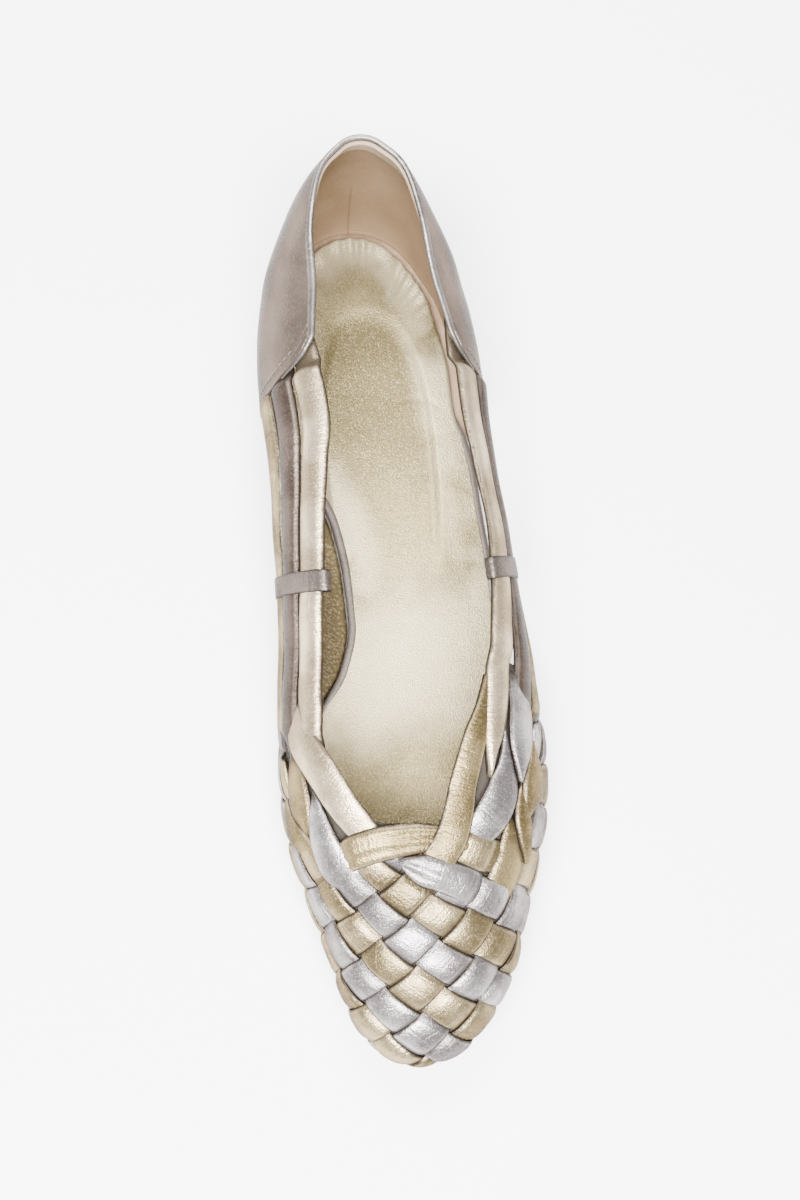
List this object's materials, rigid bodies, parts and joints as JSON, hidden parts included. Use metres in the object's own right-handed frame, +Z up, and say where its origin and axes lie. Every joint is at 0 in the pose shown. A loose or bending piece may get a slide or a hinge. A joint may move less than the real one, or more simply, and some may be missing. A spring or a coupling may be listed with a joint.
{
  "type": "braided leather ballet flat",
  "caption": "Woman's low shoe with a woven leather vamp, side straps held by tape keepers, a smooth heel counter, gold insole and a low block heel.",
  "frame": {"origin": "on the floor, under the middle of the shoe's box", "axes": "+Z up from the floor, -Y towards the toe, +X towards the outer side of the left foot"},
  "size_m": [0.0761, 0.2503, 0.0776],
  "materials": {
    "sole_leather": "matte brown sole leather",
    "heel_cover": "satin metallic pewter leather cover",
    "heel_rubber": "matte black rubber",
    "gold_sock": "pebbled metallic gold leather",
    "woven_leather": "satin metallic gold and silver leather strips",
    "pewter_leather": "satin metallic pewter leather",
    "silver_binding": "satin metallic silver leather"
  },
  "bodies": {
    "root": {"outsole": "sole_leather", "heel_block": "heel_cover", "heel_lift": "heel_rubber", "insole": "gold_sock", "upper": "woven_leather", "heel_counter": "pewter_leather", "collar_binding": "silver_binding", "strap_keeper_medial": "silver_binding", "strap_keeper_lateral": "silver_binding", "arch_facing": "gold_sock"}
  },
  "joints": []
}
